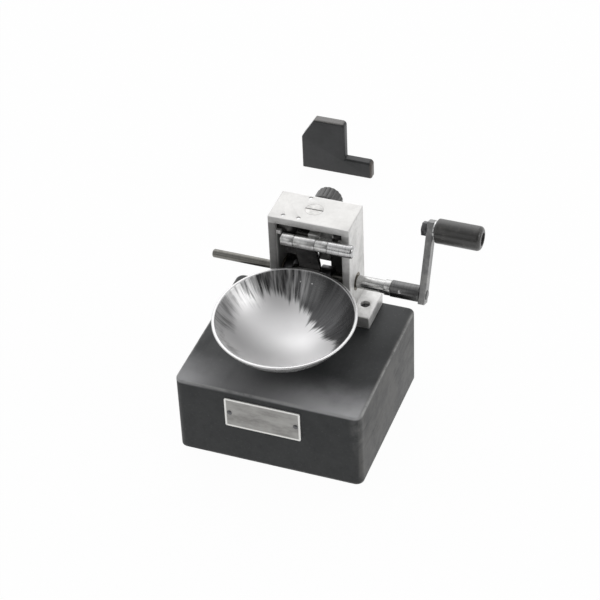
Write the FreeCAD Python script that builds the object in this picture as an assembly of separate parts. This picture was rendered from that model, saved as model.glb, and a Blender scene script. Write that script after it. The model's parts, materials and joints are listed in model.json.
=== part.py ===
import FreeCAD, Part
import math
import os

from FreeCAD import Vector

# Liquid limit device with a hand crank, and its grooving tool standing by itself.
# Millimetres. +X runs to the crank, +Y to the back, +Z up.
# The origin is the middle of the base's underside. The cup is shown raised.

# Base
base_width = 132.0
base_depth = 120.0
base_height = 60.0
base_corner_radius = 5.5
base_edge_radius = 1.2

# Name plate on the base's front, left bare
plate_width = 54.0
plate_height = 24.0
plate_thickness = 0.9
plate_offset_x = -3.0
plate_centre_height = 41.5
plate_corner_radius = 1.2
plate_rivet_radius = 1.1
plate_rivet_head_radius = 1.9
plate_rivet_head_height = 0.8
plate_rivet_inset = 3.4
plate_rivet_depth = 6.0

# Support block: a cast arch with two feet and a slotted rear wall that the cam turns through
block_width = 58.0
block_depth = 30.0
block_height = 81.0
block_setback = 0.5
block_wall = 5.3
block_top_wall = 5.0
block_rear_wall = 4.0
cam_slot_width = 12.0
cam_slot_top_drop = 28.0
block_edge_radius = 0.8
block_root_radius = 2.9
foot_span = 84.0
foot_thickness = 8.8
foot_edge_radius = 0.7
foot_screw_offset = 34.5
foot_screw_behind_face = 14.5
foot_screw_radius = 2.0
foot_screw_length = 24.0
foot_screw_head_radius = 3.1
foot_screw_head_height = 3.0
foot_screw_head_recess = 2.2
foot_screw_slot_width = 0.9
foot_screw_slot_depth = 1.0
ledge_width = 3.2
ledge_height = 3.0

# Cup: a spherical bowl
cup_inside_radius = 54.0
cup_wall = 2.0
cup_depth = 27.0
cup_lean = 4.5
cup_ahead_of_block = 51.4
cup_rim_radius = 0.4
drop_height = 10.0

# Hinge of the cup
pin_radius = 2.4
pin_ahead_of_block = 6.0
pin_below_block_top = 12.0
pin_head_radius = 4.6
pin_head_length = 18.0
pin_tip_length = 1.2
pin_tip_chamfer = 0.7
pin_head_chamfer = 0.4
pin_head_crown = 1.8
lug_radius = 4.3
lug_width = 8.5

# Hanger that carries the cup and follows the cam
hanger_width = 15.0
hanger_thickness = 2.8
hanger_side_gap = 0.3
hanger_rim_gap = 0.25
hanger_pad_drop = 17.0
follower_width = 6.0
follower_radius = 2.0
follower_gap = 0.2
hanger_rivet_radius = 1.5
hanger_rivet_head_radius = 2.6
hanger_rivet_head_height = 1.1
hanger_rivet_spacing = 9.0
hanger_rivet_drop = 8.5

# Carriage that carries the hinge and slides for the drop height
carriage_plate_thickness = 4.0
carriage_plate_proud = 1.5
carriage_cheek_drop = 15.0
carriage_tab_drop = 2.2
carriage_body_width = 32.0
carriage_body_length = 18.0
carriage_body_height = 11.2
carriage_wing_height = 6.2
carriage_wing_start = 1.0

# Drop height adjuster
adjuster_below_block_top = 10.0
adjuster_radius = 3.0
adjuster_engagement = 10.5
adjuster_travel = 1.0
adjuster_ring_radius = 4.6
adjuster_ring_width = 2.0
knob_radius = 9.6
knob_length = 14.6
knob_end_radius = 1.6
knob_flutes = 18
knob_flute_radius = 0.9
knob_flute_start = 2.5
knob_flute_outset = 0.4
knob_screw_behind_face = 5.0

# Shaft, its bushes and what is on it
shaft_radius = 3.5
shaft_above_base = 28.0
shaft_behind_face = 14.0
shaft_left_reach = 77.0
counter_end_radius = 3.0
counter_end_length = 46.0
shaft_chamfer = 0.8
shaft_relief_radius = 2.6
shaft_relief_width = 1.0
bush_radius = 6.5
bush_flange_radius = 8.0
bush_flange_width = 1.0
collar_radius = 7.0
collar_width = 6.0
sleeve_radius = 4.6
sleeve_length = 20.2
sleeve_ring_radius = 5.4
sleeve_ring_width = 4.5

# Cam: a low stretch, a long rise, a short high stretch and the drop
cam_width = 7.0
cam_high_radius = 14.0
cam_low_radius = 5.1
cam_hub_radius = 7.0
cam_hub_width = 8.0
cam_low_start = 60.0
cam_drop_angle = 199.0
cam_drop_span = 1.5
cam_high_span = 22.0
cam_rise_points = 24
full_turn = 360.0

# Crank
crank_hub_radius = 5.8
crank_hub_length = 20.2
crank_hub_edge_radius = 0.6
crank_bore_depth = 15.0
crank_pin_radius = 1.2
crank_pin_inset = 7.0
crank_spigot_radius = 3.2
crank_spigot_proud = 0.6
arm_thickness = 4.8
arm_width = 8.0
arm_reach = 46.0
arm_lean = 22.0
arm_foot = 6.3
arm_top = 6.0
arm_edge_radius = 0.5
spindle_thread_radius = 2.0
spindle_radius = 2.5
spindle_head_radius = 4.2
spindle_head_height = 2.5
spindle_slot_width = 0.9
spindle_slot_depth = 1.0
spindle_proud = 0.8
nut_across_flats = 9.0
nut_height = 3.6
nut_sides = 6
washer_radius = 6.6
washer_thickness = 1.2
grip_radius = 8.5
grip_length = 32.0
grip_inner_end_radius = 1.5
grip_outer_end_radius = 3.0
grip_recess_depth = 4.0

# Screws in the block's top
lock_screw_behind_face = 16.0
lock_screw_offset_x = -1.0
lock_screw_head_radius = 6.4
lock_screw_head_height = 2.6
lock_screw_radius = 3.0
lock_screw_slot_width = 1.0
lock_screw_slot_depth = 1.0
grub_radius = 1.5
grub_recess = 0.4
grub_length = 4.4
front_grub_behind_face = 3.9
front_grub_offsets = (-19.0, -8.0)
rear_grub_ahead_of_rear = 2.4
rear_grub_offset = -7.5

# Grooving tool, standing on the same bench behind the device
tool_body_width = 36.0
tool_stub_length = 22.0
tool_height = 47.0
tool_stub_height = 14.3
tool_thickness = 8.0
tool_bevel_width = 11.0
tool_bevel_height = 17.5
tool_edge_radius = 1.8
tool_corner_radius = 3.2
tool_left_x = -97.9
tool_behind_base = 214.7

# Clearances
seat_clearance = 0.03
running_clearance = 0.05
slide_clearance = 0.2
part_gap = 0.3

# Places worked out from the sizes above
block_rear_y = base_depth / 2 - block_setback
block_front_y = block_rear_y - block_depth
block_top_z = base_height + block_height
cavity_half_width = block_width / 2 - block_wall
cavity_top_z = block_top_z - block_top_wall
rear_wall_inner_y = block_rear_y - block_rear_wall
foot_top_z = base_height + foot_thickness

cup_outer_radius = cup_inside_radius + cup_wall
cup_centre_y = block_front_y - cup_ahead_of_block
cup_centre_z = base_height + drop_height + cup_outer_radius
rim_drop = cup_inside_radius - cup_depth
rim_outer_radius = math.sqrt(cup_outer_radius ** 2 - rim_drop ** 2)
rim_inner_radius = math.sqrt(cup_inside_radius ** 2 - rim_drop ** 2)
lean_sine = math.sin(math.radians(cup_lean))
lean_cosine = math.cos(math.radians(cup_lean))
rim_rear_y = cup_centre_y + rim_outer_radius * lean_cosine + rim_drop * lean_sine
rim_rear_z = cup_centre_z + rim_outer_radius * lean_sine - rim_drop * lean_cosine

pin_y = block_front_y - pin_ahead_of_block
pin_z = block_top_z - pin_below_block_top
lug_inner_x = hanger_width / 2 + hanger_side_gap
lug_outer_x = lug_inner_x + lug_width

shaft_y = block_front_y + shaft_behind_face
shaft_z = base_height + shaft_above_base
follower_tip_y = shaft_y - cam_high_radius - follower_gap

plate_front_y = block_front_y - carriage_plate_proud
plate_back_y = plate_front_y + carriage_plate_thickness
carriage_top_z = cavity_top_z - part_gap
carriage_bottom_z = carriage_top_z - carriage_body_height
carriage_rear_y = plate_back_y + carriage_body_length
wing_half_width = cavity_half_width - slide_clearance
wing_bottom_z = carriage_top_z - carriage_wing_height
ledge_top_z = wing_bottom_z - slide_clearance

adjuster_z = block_top_z - adjuster_below_block_top
knob_front_y = block_rear_y + part_gap
knob_rear_y = knob_front_y + knob_length

sleeve_start_x = block_width / 2 + part_gap
sleeve_end_x = sleeve_start_x + sleeve_length
hub_start_x = sleeve_end_x + sleeve_ring_width
arm_start_x = hub_start_x + crank_hub_length
arm_end_x = arm_start_x + arm_thickness
shaft_right_x = hub_start_x + crank_bore_depth - part_gap
washer_end_x = arm_end_x + washer_thickness
grip_start_x = washer_end_x + part_gap
grip_end_x = grip_start_x + grip_length

collar_start_x = part_gap + bush_flange_width - cavity_half_width
collar_middle_x = collar_start_x + collar_width / 2
cam_hub_middle_x = cam_width / 2 + cam_hub_width / 2
tool_front_y = base_depth / 2 + tool_behind_base


def box(x0, x1, y0, y1, z0, z1):
    return Part.makeBox(x1 - x0, y1 - y0, z1 - z0, Vector(x0, y0, z0))


def rod_x(radius, x0, x1, y, z):
    return Part.makeCylinder(radius, x1 - x0, Vector(x0, y, z), Vector(1, 0, 0))


def rod_y(radius, y0, y1, x, z):
    return Part.makeCylinder(radius, y1 - y0, Vector(x, y0, z), Vector(0, 1, 0))


def rod_z(radius, z0, z1, x, y):
    return Part.makeCylinder(radius, z1 - z0, Vector(x, y, z0), Vector(0, 0, 1))


def fuse(shapes):
    body = shapes[0]
    for shape in shapes[1:]:
        body = body.fuse(shape)
    return body.removeSplitter()


def turned_x(profile, y, z):
    # profile: (x, radius) pairs, revolved about an axis along X through (y, z)
    points = [Vector(x, y, z + radius) for x, radius in profile]
    points.append(Vector(profile[-1][0], y, z))
    points.append(Vector(profile[0][0], y, z))
    points.append(points[0])
    face = Part.Face(Part.makePolygon(points))
    return face.revolve(Vector(0, y, z), Vector(1, 0, 0), full_turn)


def edges_where(shape, test):
    return [edge for edge in shape.Edges if test(edge)]


def is_line(edge):
    if len(edge.Vertexes) < 2:
        return False
    chord = edge.Vertexes[0].Point.distanceToPoint(edge.Vertexes[1].Point)
    return chord > 1e-6 and abs(edge.Length - chord) < 1e-7


def runs_along(edge, direction):
    if not is_line(edge):
        return False
    chord = edge.Vertexes[1].Point - edge.Vertexes[0].Point
    return abs(abs(chord.dot(direction)) - edge.Length) < 1e-6


def export(name, shapes):
    solids = []
    for shape in shapes:
        solids.extend(shape.Solids)
    result = solids[0]
    if len(solids) > 1:
        result = Part.makeCompound(solids)
    result.exportStep("parts/" + name + ".step")
    print(name, len(solids), "solids", round(sum(solid.Volume for solid in solids), 1), "mm3")


def block_screw_places():
    y = block_front_y + foot_screw_behind_face
    return [(-foot_screw_offset, y), (foot_screw_offset, y)]


def plate_rivet_places():
    reach = plate_width / 2 - plate_rivet_inset
    return [(plate_offset_x - reach, plate_centre_height), (plate_offset_x + reach, plate_centre_height)]


def top_grub_places():
    y = block_front_y + front_grub_behind_face
    places = [(x, y) for x in front_grub_offsets]
    places.append((rear_grub_offset, block_rear_y - rear_grub_ahead_of_rear))
    return places


def make_base():
    half_x = base_width / 2
    half_y = base_depth / 2
    base = box(-half_x, half_x, -half_y, half_y, 0, base_height)
    uprights = edges_where(base, lambda edge: runs_along(edge, Vector(0, 0, 1)))
    base = base.makeFillet(base_corner_radius, uprights)
    top = edges_where(base, lambda edge: edge.BoundBox.ZMin > base_height - 1e-3)
    base = base.makeFillet(base_edge_radius, top)
    shank_end = foot_top_z - foot_screw_head_recess - foot_screw_head_height - foot_screw_length
    for x, y in block_screw_places():
        hole = rod_z(foot_screw_radius + seat_clearance, shank_end - part_gap, base_height + 1, x, y)
        base = base.cut(hole)
    for x, z in plate_rivet_places():
        hole_end = -half_y + plate_rivet_depth + part_gap
        base = base.cut(rod_y(plate_rivet_radius + seat_clearance, -half_y - 1, hole_end, x, z))
    return base


def make_plate():
    front = -base_depth / 2
    half = plate_width / 2
    low = plate_centre_height - plate_height / 2
    left = plate_offset_x - half
    plate = box(left, left + plate_width, front - plate_thickness, front, low, low + plate_height)
    corners = edges_where(plate, lambda edge: runs_along(edge, Vector(0, 1, 0)))
    plate = plate.makeFillet(plate_corner_radius, corners)
    for x, z in plate_rivet_places():
        hole = rod_y(plate_rivet_radius + seat_clearance, front - plate_thickness - 1, front + 1, x, z)
        plate = plate.cut(hole)
    return plate


def domed_head(radius, height, centre, direction):
    # a round head whose flat side lies at centre, with a spherical crown
    sphere_radius = (radius * radius + height * height) / (2 * height)
    axis = Vector(direction)
    axis.normalize()
    sphere = Part.makeSphere(sphere_radius, centre - axis * (sphere_radius - height))
    return sphere.common(Part.makeCylinder(radius, height + 1, centre, axis))


def make_plate_rivets():
    rivets = []
    face = -base_depth / 2 - plate_thickness
    for x, z in plate_rivet_places():
        head = domed_head(plate_rivet_head_radius, plate_rivet_head_height, Vector(x, face, z),
                          Vector(0, -1, 0))
        shank = rod_y(plate_rivet_radius, face, -base_depth / 2 + plate_rivet_depth, x, z)
        rivets.append(fuse([head, shank]))
    return rivets


def make_block():
    half = block_width / 2
    arch = box(-half, half, block_front_y, block_rear_y, base_height, block_top_z)
    inner = box(-cavity_half_width, cavity_half_width, block_front_y - 1, rear_wall_inner_y, foot_top_z,
                cavity_top_z)
    slot_half = cam_slot_width / 2
    slot_top = cavity_top_z - cam_slot_top_drop
    slot = box(-slot_half, slot_half, rear_wall_inner_y - 1, block_rear_y + 1, foot_top_z, slot_top)
    arch = arch.cut(inner).cut(slot)
    outside = edges_where(arch, lambda edge: is_line(edge) and abs(abs(edge.CenterOfMass.x) - half) < 1e-3
                          and edge.BoundBox.ZMax > base_height + 1)
    arch = arch.makeFillet(block_edge_radius, outside)
    plate = box(-foot_span / 2, foot_span / 2, block_front_y, block_rear_y, base_height, foot_top_z)
    rim = edges_where(plate, lambda edge: edge.BoundBox.ZMin > foot_top_z - 1e-3
                      or runs_along(edge, Vector(0, 0, 1)))
    plate = plate.makeFillet(foot_edge_radius, rim)
    parts = [arch, plate]
    for side in (-1, 1):
        inner_x = side * (cavity_half_width - ledge_width)
        outer_x = side * (cavity_half_width + block_wall / 2)
        low = min(inner_x, outer_x)
        high = max(inner_x, outer_x)
        ledge_front = plate_back_y - adjuster_travel
        parts.append(box(low, high, ledge_front, rear_wall_inner_y, ledge_top_z - ledge_height, ledge_top_z))
    block = fuse(parts)
    roots = edges_where(block, lambda edge: runs_along(edge, Vector(0, 1, 0))
                        and abs(edge.CenterOfMass.z - foot_top_z) < 1e-3
                        and abs(abs(edge.CenterOfMass.x) - half) < 1e-3)
    if roots:
        block = block.makeFillet(block_root_radius, roots)
    block = block.cut(rod_x(bush_radius + seat_clearance, -half - 1, half + 1, shaft_y, shaft_z))
    block = block.cut(rod_y(adjuster_radius + running_clearance, rear_wall_inner_y - 1, block_rear_y + 1, 0,
                            adjuster_z))
    for x, y in block_screw_places():
        block = block.cut(rod_z(foot_screw_radius + seat_clearance, base_height - 1, foot_top_z + 1, x, y))
        recess = foot_top_z - foot_screw_head_recess - foot_screw_head_height
        block = block.cut(rod_z(foot_screw_head_radius + part_gap, recess, foot_top_z + 1, x, y))
    lock_y = block_front_y + lock_screw_behind_face
    block = block.cut(rod_z(lock_screw_radius + seat_clearance, cavity_top_z - 1, block_top_z + 1,
                            lock_screw_offset_x, lock_y))
    block = block.cut(rod_z(lock_screw_head_radius + seat_clearance, block_top_z - lock_screw_head_height,
                            block_top_z + 1, lock_screw_offset_x, lock_y))
    for x, y in top_grub_places():
        block = block.cut(rod_z(grub_radius + seat_clearance, block_top_z - grub_recess - grub_length,
                                block_top_z + 1, x, y))
    return block


def make_block_screws():
    screws = []
    for x, y in block_screw_places():
        top = foot_top_z - foot_screw_head_recess
        seat = top - foot_screw_head_height
        head = rod_z(foot_screw_head_radius, seat, top, x, y)
        shank = rod_z(foot_screw_radius, seat - foot_screw_length, seat, x, y)
        slot = box(x - foot_screw_head_radius, x + foot_screw_head_radius, y - foot_screw_slot_width / 2,
                   y + foot_screw_slot_width / 2, top - foot_screw_slot_depth, top + 1)
        screws.append(fuse([head, shank]).cut(slot))
    return screws


def make_bush(side):
    inner_x = cavity_half_width
    outer_x = block_width / 2
    bush = rod_x(bush_radius, inner_x, outer_x, shaft_y, shaft_z)
    flange = rod_x(bush_flange_radius, inner_x - bush_flange_width, inner_x, shaft_y, shaft_z)
    bore_start = inner_x - bush_flange_width - 1
    bore = rod_x(shaft_radius + running_clearance, bore_start, outer_x + 1, shaft_y, shaft_z)
    bush = fuse([bush, flange]).cut(bore)
    if side < 0:
        bush = bush.mirror(Vector(0, 0, 0), Vector(1, 0, 0))
    return bush


def make_lock_screw():
    y = block_front_y + lock_screw_behind_face
    x = lock_screw_offset_x
    seat = block_top_z - lock_screw_head_height
    head = rod_z(lock_screw_head_radius, seat, block_top_z, x, y)
    shank = rod_z(lock_screw_radius, carriage_top_z + slide_clearance, seat, x, y)
    slot = box(x - lock_screw_head_radius, x + lock_screw_head_radius, y - lock_screw_slot_width / 2,
               y + lock_screw_slot_width / 2, block_top_z - lock_screw_slot_depth, block_top_z + 1)
    return fuse([head, shank]).cut(slot)


def make_top_grubs():
    top = block_top_z - grub_recess
    return [rod_z(grub_radius, top - grub_length, top, x, y) for x, y in top_grub_places()]


def make_carriage():
    # two cheeks as high as the pin, and a tab between them that reaches nearly to the block's top wall
    cheeks = box(-lug_outer_x, lug_outer_x, plate_front_y, plate_back_y, pin_z - carriage_cheek_drop, pin_z)
    tab = box(-lug_inner_x, lug_inner_x, plate_front_y, plate_back_y, pin_z - carriage_cheek_drop,
              carriage_top_z - carriage_tab_drop)
    notch = box(-lug_inner_x, lug_inner_x, plate_front_y - 1, plate_back_y + 1, 0, pin_z - lug_radius)
    plate = fuse([cheeks, tab]).cut(notch)
    body_half = carriage_body_width / 2
    body = box(-body_half, body_half, plate_back_y, carriage_rear_y, carriage_bottom_z, carriage_top_z)
    wing_front = plate_back_y + carriage_wing_start
    wings = box(-wing_half_width, wing_half_width, wing_front, carriage_rear_y, wing_bottom_z, carriage_top_z)
    parts = [plate, body, wings]
    for side in (-1, 1):
        low = min(side * lug_inner_x, side * lug_outer_x)
        high = max(side * lug_inner_x, side * lug_outer_x)
        parts.append(rod_x(lug_radius, low, high, pin_y, pin_z))
        parts.append(box(low, high, pin_y, plate_front_y, pin_z - lug_radius, pin_z))
    carriage = fuse(parts)
    pin_bore = rod_x(pin_radius + running_clearance, -lug_outer_x - 1, lug_outer_x + 1, pin_y, pin_z)
    carriage = carriage.cut(pin_bore)
    bore_end = carriage_rear_y - adjuster_engagement - 2 * adjuster_travel
    screw_bore = rod_y(adjuster_radius + running_clearance, bore_end, carriage_rear_y + 1, 0, adjuster_z)
    return carriage.cut(screw_bore)


def make_pin():
    left = -lug_outer_x - pin_tip_length
    shoulder = lug_outer_x + part_gap
    end = shoulder + pin_head_length
    profile = [(left, pin_radius - pin_tip_chamfer), (left + pin_tip_chamfer, pin_radius),
               (shoulder, pin_radius), (shoulder, pin_head_radius - pin_head_chamfer),
               (shoulder + pin_head_chamfer, pin_head_radius), (end, pin_head_radius)]
    pin = turned_x(profile, pin_y, pin_z)
    crown = edges_where(pin, lambda edge: not is_line(edge) and edge.BoundBox.XMin > end - 1e-3)
    return pin.makeFillet(pin_head_crown, crown)


def make_cup():
    # revolved upright, then leaned forward about the middle of its sphere
    start = Vector(0, cup_centre_y, cup_centre_z - cup_outer_radius)
    rim_z = cup_centre_z - rim_drop

    def on_sphere(radius, angle):
        return Vector(radius * math.sin(angle), cup_centre_y, cup_centre_z - radius * math.cos(angle))

    outer_angle = math.acos(rim_drop / cup_outer_radius)
    inner_angle = math.acos(rim_drop / cup_inside_radius)
    outer_arc = Part.Arc(start, on_sphere(cup_outer_radius, outer_angle / 2),
                         on_sphere(cup_outer_radius, outer_angle))
    lowest = Vector(0, cup_centre_y, cup_centre_z - cup_inside_radius)
    inner_arc = Part.Arc(on_sphere(cup_inside_radius, inner_angle),
                         on_sphere(cup_inside_radius, inner_angle / 2), lowest)
    lip = Part.LineSegment(Vector(rim_outer_radius, cup_centre_y, rim_z),
                           Vector(rim_inner_radius, cup_centre_y, rim_z))
    pole = Part.LineSegment(lowest, start)
    wire = Part.Wire([outer_arc.toShape(), lip.toShape(), inner_arc.toShape(), pole.toShape()])
    cup = Part.Face(wire).revolve(Vector(0, cup_centre_y, 0), Vector(0, 0, 1), full_turn)
    rims = edges_where(cup, lambda edge: edge.BoundBox.ZMin > rim_z - 1e-3 and not is_line(edge))
    cup = cup.makeFillet(cup_rim_radius, rims)
    cup.rotate(Vector(0, cup_centre_y, cup_centre_z), Vector(1, 0, 0), cup_lean)
    for x in (-hanger_rivet_spacing / 2, hanger_rivet_spacing / 2):
        cup = cup.cut(hanger_rivet_shank(x, hanger_rivet_radius + seat_clearance, cup_wall * 2))
    return cup


def hanger_rivet_direction():
    drop = cup_centre_z - (rim_rear_z - hanger_rivet_drop)
    back = math.sqrt(cup_outer_radius ** 2 - drop ** 2)
    return Vector(0, back / cup_outer_radius, -drop / cup_outer_radius)


def hanger_rivet_shank(x, radius, inward):
    direction = hanger_rivet_direction()
    centre = Vector(x, cup_centre_y, cup_centre_z)
    start = centre + direction * (cup_outer_radius - inward)
    return Part.makeCylinder(radius, inward + hanger_thickness, start, direction)


def make_hanger():
    half = hanger_width / 2
    knuckle = rod_x(lug_radius, -half, half, pin_y, pin_z)
    inner = cup_outer_radius + seat_clearance
    outer = cup_outer_radius + hanger_thickness
    centre = Vector(0, cup_centre_y, cup_centre_z)
    shell = Part.makeSphere(outer, centre).cut(Part.makeSphere(inner, centre))
    pad = shell.common(box(-half, half, cup_centre_y, shaft_y, rim_rear_z - hanger_pad_drop, rim_rear_z))
    # the strap runs from the knuckle down to just behind the rim
    strap_front = rim_rear_y + hanger_rim_gap
    strap_rear = strap_front + hanger_thickness
    outline = [Vector(-half, pin_y - hanger_thickness / 2, pin_z),
               Vector(-half, pin_y + hanger_thickness / 2, pin_z),
               Vector(-half, strap_rear, rim_rear_z + hanger_thickness),
               Vector(-half, strap_rear, rim_rear_z - hanger_thickness),
               Vector(-half, strap_front, rim_rear_z - hanger_thickness),
               Vector(-half, strap_front, rim_rear_z + hanger_thickness)]
    outline.append(outline[0])
    strap = Part.Face(Part.makePolygon(outline)).extrude(Vector(hanger_width, 0, 0))
    # the follower is a short round-nosed lug that meets the cam
    nose_y = follower_tip_y - follower_radius
    nose = rod_x(follower_radius, -follower_width / 2, follower_width / 2, nose_y, shaft_z)
    root = box(-follower_width / 2, follower_width / 2, cup_centre_y + inner / 2, nose_y,
               shaft_z - follower_radius, shaft_z + follower_radius)
    root = root.cut(Part.makeSphere(inner, centre))
    hanger = fuse([knuckle, strap, pad, nose, root])
    hanger = hanger.cut(rod_x(pin_radius + running_clearance, -half - 1, half + 1, pin_y, pin_z))
    for x in (-hanger_rivet_spacing / 2, hanger_rivet_spacing / 2):
        hanger = hanger.cut(hanger_rivet_shank(x, hanger_rivet_radius + seat_clearance, cup_wall))
    return hanger


def make_hanger_rivets():
    rivets = []
    direction = hanger_rivet_direction()
    centre = Vector(0, cup_centre_y, cup_centre_z)
    for x in (-hanger_rivet_spacing / 2, hanger_rivet_spacing / 2):
        shank = hanger_rivet_shank(x, hanger_rivet_radius, cup_wall * 2)
        shank = shank.cut(Part.makeSphere(cup_inside_radius, centre))
        seat = Vector(x, cup_centre_y, cup_centre_z) + direction * (cup_outer_radius + hanger_thickness)
        head = domed_head(hanger_rivet_head_radius, hanger_rivet_head_height, seat, direction)
        rivets.append(fuse([shank, head]))
    return rivets


def make_shaft():
    left = -shaft_left_reach
    shoulder = left + counter_end_length
    relief_end = shoulder + shaft_relief_width
    profile = [(left, counter_end_radius - shaft_chamfer), (left + shaft_chamfer, counter_end_radius),
               (shoulder, counter_end_radius), (shoulder, shaft_relief_radius),
               (relief_end, shaft_relief_radius), (relief_end, shaft_radius), (shaft_right_x, shaft_radius)]
    shaft = turned_x(profile, shaft_y, shaft_z)
    return shaft.cut(crank_pin_shape(seat_clearance))


def cam_radius(angle):
    # radius of the rising flank, by angle in degrees past the end of the high stretch
    span = full_turn + cam_low_start - (cam_drop_angle + cam_drop_span + cam_high_span)
    share = (1 + math.cos(math.pi * angle / span)) / 2
    return cam_low_radius + (cam_high_radius - cam_low_radius) * share


def cam_point(radius, angle):
    turn = math.radians(angle)
    return Vector(-cam_width / 2, shaft_y + radius * math.cos(turn), shaft_z + radius * math.sin(turn))


def make_cam():
    high_start = cam_drop_angle + cam_drop_span
    high_end = high_start + cam_high_span
    span = full_turn + cam_low_start - high_end
    low = Part.Arc(cam_point(cam_low_radius, cam_low_start),
                   cam_point(cam_low_radius, (cam_low_start + cam_drop_angle) / 2),
                   cam_point(cam_low_radius, cam_drop_angle))
    high_begin = cam_point(cam_high_radius, high_start)
    high_middle = cam_point(cam_high_radius, (high_start + high_end) / 2)
    step = Part.LineSegment(cam_point(cam_low_radius, cam_drop_angle), high_begin)
    high = Part.Arc(high_begin, high_middle, cam_point(cam_high_radius, high_end))
    flank = Part.BSplineCurve()
    steps = [span * index / cam_rise_points for index in range(cam_rise_points + 1)]
    flank.interpolate([cam_point(cam_radius(step_angle), high_end + step_angle) for step_angle in steps])
    wire = Part.Wire(Part.__sortEdges__([low.toShape(), step.toShape(), high.toShape(), flank.toShape()]))
    disc = Part.Face(wire).extrude(Vector(cam_width, 0, 0))
    hub = rod_x(cam_hub_radius, cam_width / 2, cam_width / 2 + cam_hub_width, shaft_y, shaft_z)
    cam = fuse([disc, hub])
    cam = cam.cut(rod_x(shaft_radius, -cam_width, cam_width + cam_hub_width, shaft_y, shaft_z))
    return cam.cut(radial_grub(cam_hub_middle_x, cam_hub_radius + 1, seat_clearance))


def radial_grub(x, outer_radius, extra):
    # a grub screw that stands on the shaft, pointing to the back
    length = outer_radius - shaft_radius
    start = Vector(x, shaft_y + shaft_radius, shaft_z)
    whole = Part.makeCylinder(grub_radius + extra, length, start, Vector(0, 1, 0))
    return whole.cut(rod_x(shaft_radius, x - grub_radius * 2, x + grub_radius * 2, shaft_y, shaft_z))


def make_collar():
    end = collar_start_x + collar_width
    collar = rod_x(collar_radius, collar_start_x, end, shaft_y, shaft_z)
    collar = collar.cut(rod_x(shaft_radius, collar_start_x - 1, end + 1, shaft_y, shaft_z))
    return collar.cut(radial_grub(collar_middle_x, collar_radius + 1, seat_clearance))


def ring_x(radius, x0, x1):
    ring = rod_x(radius, x0, x1, shaft_y, shaft_z)
    return ring.cut(rod_x(shaft_radius, x0 - 1, x1 + 1, shaft_y, shaft_z))


def crank_place(shape):
    # turns a shape drawn with the arm upright on the X axis to the arm's lean, at the shaft
    shape.rotate(Vector(0, 0, 0), Vector(1, 0, 0), -arm_lean)
    shape.translate(Vector(0, shaft_y, shaft_z))
    return shape


def crank_pin_shape(extra):
    x = hub_start_x + crank_pin_inset
    pin = Part.makeCylinder(crank_pin_radius + extra, 2 * crank_hub_radius, Vector(x, -crank_hub_radius, 0),
                            Vector(0, 1, 0))
    return crank_place(pin)


def make_crank_hub():
    hub = Part.makeCylinder(crank_hub_radius, crank_hub_length, Vector(hub_start_x, 0, 0), Vector(1, 0, 0))
    rims = edges_where(hub, lambda edge: not is_line(edge))
    hub = hub.makeFillet(crank_hub_edge_radius, rims)
    spigot = Part.makeCylinder(crank_spigot_radius, arm_thickness + crank_spigot_proud,
                               Vector(arm_start_x, 0, 0), Vector(1, 0, 0))
    hub = fuse([hub, spigot])
    bore = Part.makeCylinder(shaft_radius, crank_bore_depth + 1, Vector(hub_start_x - 1, 0, 0),
                             Vector(1, 0, 0))
    hub = hub.cut(bore)
    return crank_place(hub).cut(crank_pin_shape(seat_clearance))


def make_crank_arm():
    arm = box(arm_start_x, arm_end_x, -arm_width / 2, arm_width / 2, -arm_foot, arm_reach + arm_top)
    long_edges = edges_where(arm, lambda edge: runs_along(edge, Vector(0, 0, 1)))
    arm = arm.makeFillet(arm_edge_radius, long_edges)
    spigot = Part.makeCylinder(crank_spigot_radius + seat_clearance, arm_thickness + 2,
                               Vector(arm_start_x - 1, 0, 0), Vector(1, 0, 0))
    thread = Part.makeCylinder(spindle_thread_radius + seat_clearance, arm_thickness + 2,
                               Vector(arm_start_x - 1, 0, arm_reach), Vector(1, 0, 0))
    return crank_place(arm.cut(spigot).cut(thread))


def make_nut():
    corner = nut_across_flats / 2 / math.cos(math.pi / nut_sides)
    nut_start = arm_start_x - nut_height
    points = []
    for index in range(nut_sides + 1):
        turn = 2 * math.pi * index / nut_sides
        points.append(Vector(nut_start, corner * math.cos(turn), arm_reach + corner * math.sin(turn)))
    nut = Part.Face(Part.makePolygon(points)).extrude(Vector(nut_height, 0, 0))
    bore = Part.makeCylinder(spindle_thread_radius + seat_clearance, nut_height + 2,
                             Vector(nut_start - 1, 0, arm_reach), Vector(1, 0, 0))
    return crank_place(nut.cut(bore))


def make_washer():
    washer = Part.makeCylinder(washer_radius, washer_thickness, Vector(arm_end_x, 0, arm_reach),
                               Vector(1, 0, 0))
    bore = Part.makeCylinder(spindle_thread_radius + seat_clearance, washer_thickness + 2,
                             Vector(arm_end_x - 1, 0, arm_reach), Vector(1, 0, 0))
    return crank_place(washer.cut(bore))


def make_spindle():
    start = arm_start_x - nut_height - spindle_proud
    head_start = grip_end_x - grip_recess_depth + part_gap
    head_end = head_start + spindle_head_height
    thread = Part.makeCylinder(spindle_thread_radius, washer_end_x - start, Vector(start, 0, arm_reach),
                               Vector(1, 0, 0))
    shank = Part.makeCylinder(spindle_radius, head_start - washer_end_x, Vector(washer_end_x, 0, arm_reach),
                              Vector(1, 0, 0))
    head = Part.makeCylinder(spindle_head_radius, spindle_head_height, Vector(head_start, 0, arm_reach),
                             Vector(1, 0, 0))
    slot = box(head_end - spindle_slot_depth, head_end + 1, -spindle_head_radius, spindle_head_radius,
               arm_reach - spindle_slot_width / 2, arm_reach + spindle_slot_width / 2)
    return crank_place(fuse([thread, shank, head]).cut(slot))


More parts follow.
